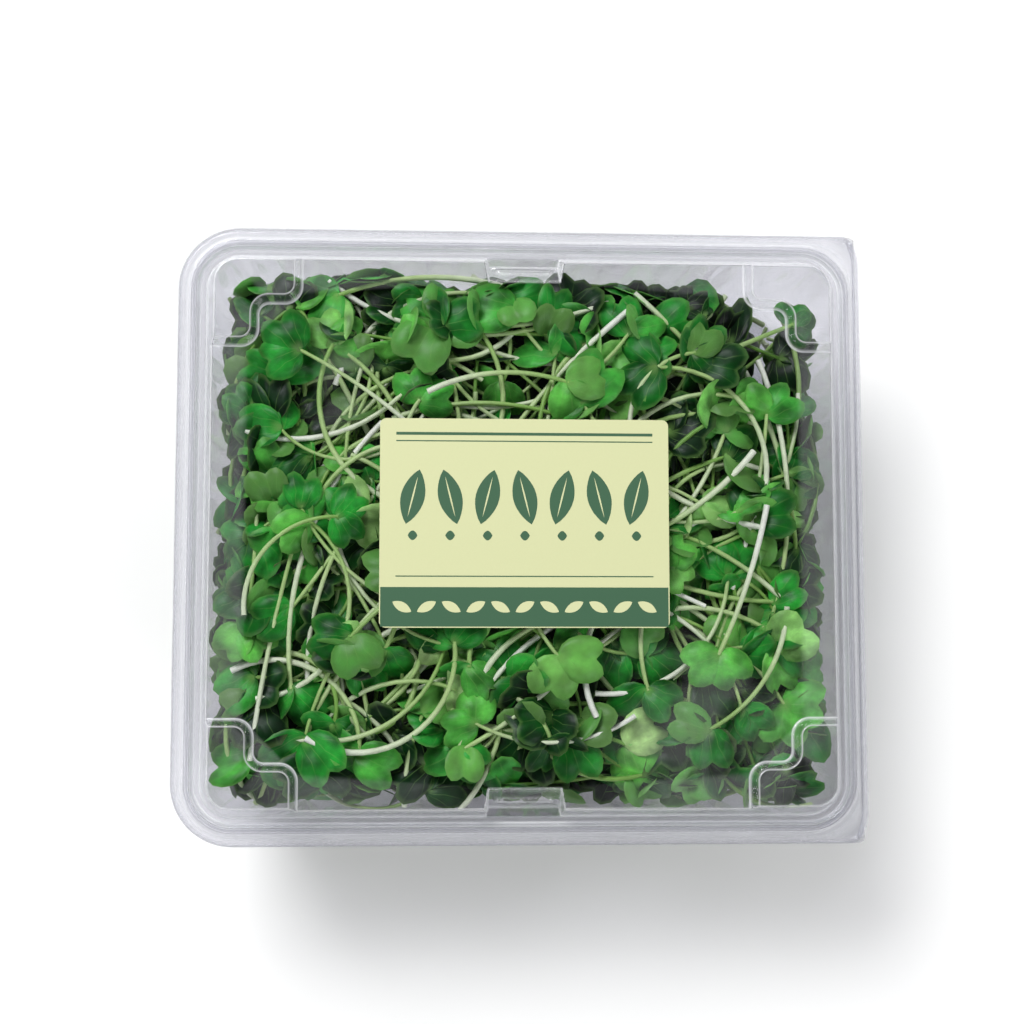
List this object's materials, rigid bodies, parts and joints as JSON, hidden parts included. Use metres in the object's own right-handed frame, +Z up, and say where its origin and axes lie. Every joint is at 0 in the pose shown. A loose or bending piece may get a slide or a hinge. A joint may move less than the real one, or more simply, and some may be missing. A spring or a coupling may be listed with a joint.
{
  "type": "clamshell punnet of daikon shoots",
  "caption": "Clear hinged punnet with a fluted tray, a flat labelled lid and stepped stacking lugs, filled with cut daikon radish shoots.",
  "frame": {"origin": "on the ground, under the middle of the closed punnet's bounding box", "axes": "+Z up, +X towards the hinge and along the longer side, +Y towards the far long side in the picture"},
  "size_m": [0.218, 0.194, 0.0726],
  "materials": {
    "tray_sheet": "clear thermoformed sheet",
    "lid_sheet": "clear thermoformed sheet",
    "label_paper": "coated pale yellow-green paper",
    "shoots": "fresh seed leaves and stems",
    "loose_shoots": "fresh seed leaves and stems",
    "seed_coats": "dry seed husk"
  },
  "bodies": {
    "base": {"tray": "tray_sheet", "shoot_heap": "shoots", "loose_shoot_01": "loose_shoots", "loose_shoot_02": "loose_shoots", "loose_shoot_03": "loose_shoots", "loose_shoot_04": "loose_shoots", "loose_shoot_05": "loose_shoots", "loose_shoot_06": "loose_shoots", "loose_shoot_07": "loose_shoots", "loose_shoot_08": "loose_shoots", "loose_shoot_09": "loose_shoots", "loose_shoot_10": "loose_shoots", "loose_shoot_11": "loose_shoots", "loose_shoot_12": "loose_shoots", "loose_shoot_13": "loose_shoots", "loose_shoot_14": "loose_shoots", "loose_shoot_15": "loose_shoots", "loose_shoot_16": "loose_shoots", "loose_shoot_17": "loose_shoots", "loose_shoot_18": "loose_shoots", "seed_coat_1": "seed_coats", "seed_coat_2": "seed_coats"},
    "cover": {"lid": "lid_sheet", "label": "label_paper"}
  },
  "joints": [
    {"name": "lid_hinge", "type": "hinge", "parent": "base", "child": "cover", "pos_m": [0.1081, 0, 0.05985], "axis": [0, 1, 0], "range_deg": [0, 180]}
  ]
}
